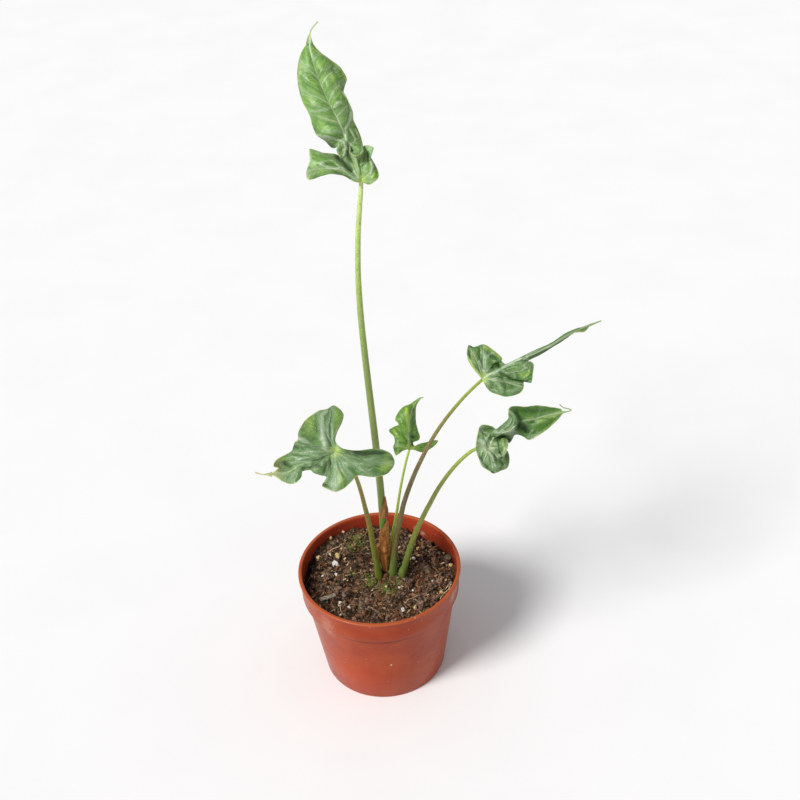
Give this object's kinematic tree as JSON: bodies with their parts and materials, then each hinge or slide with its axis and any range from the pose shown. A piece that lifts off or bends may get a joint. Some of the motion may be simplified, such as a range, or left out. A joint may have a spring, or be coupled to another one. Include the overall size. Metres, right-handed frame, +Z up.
{
  "type": "potted alocasia",
  "caption": "Young alocasia house plant in a small round nursery pot: curled, arrow-shaped leaves on long bare stems that rise from a corm in lumpy potting soil.",
  "frame": {"origin": "centre of the flat disc under the pot, on the surface that the pot stands on", "axes": "+Z up along the pot's axis, -Y toward the side that the leaves face"},
  "size_m": [0.2288, 0.1313, 0.4852],
  "materials": {
    "pot": "satin plastic",
    "soil": "damp, crumbly, matt",
    "corm": "rough, matt",
    "sheath_lower": "dry, papery",
    "sheath_upper": "dry, papery",
    "stem_tall": "smooth, slightly waxy",
    "stem_left": "smooth, slightly waxy",
    "stem_small": "smooth, slightly waxy",
    "stem_upper_right": "smooth, slightly waxy",
    "stem_lower_right": "smooth, slightly waxy",
    "leaf_tall": "satin, slightly waxy",
    "leaf_left": "satin, slightly waxy",
    "leaf_small": "satin, slightly waxy",
    "leaf_upper_right": "satin, slightly waxy",
    "leaf_lower_right": "satin, slightly waxy"
  },
  "bodies": {
    "root": {"pot": "pot", "soil": "soil", "corm": "corm", "sheath_lower": "sheath_lower", "sheath_upper": "sheath_upper", "stem_tall": "stem_tall", "stem_left": "stem_left", "stem_small": "stem_small", "stem_upper_right": "stem_upper_right", "stem_lower_right": "stem_lower_right", "leaf_tall": "leaf_tall", "leaf_left": "leaf_left", "leaf_small": "leaf_small", "leaf_upper_right": "leaf_upper_right", "leaf_lower_right": "leaf_lower_right"}
  },
  "joints": []
}
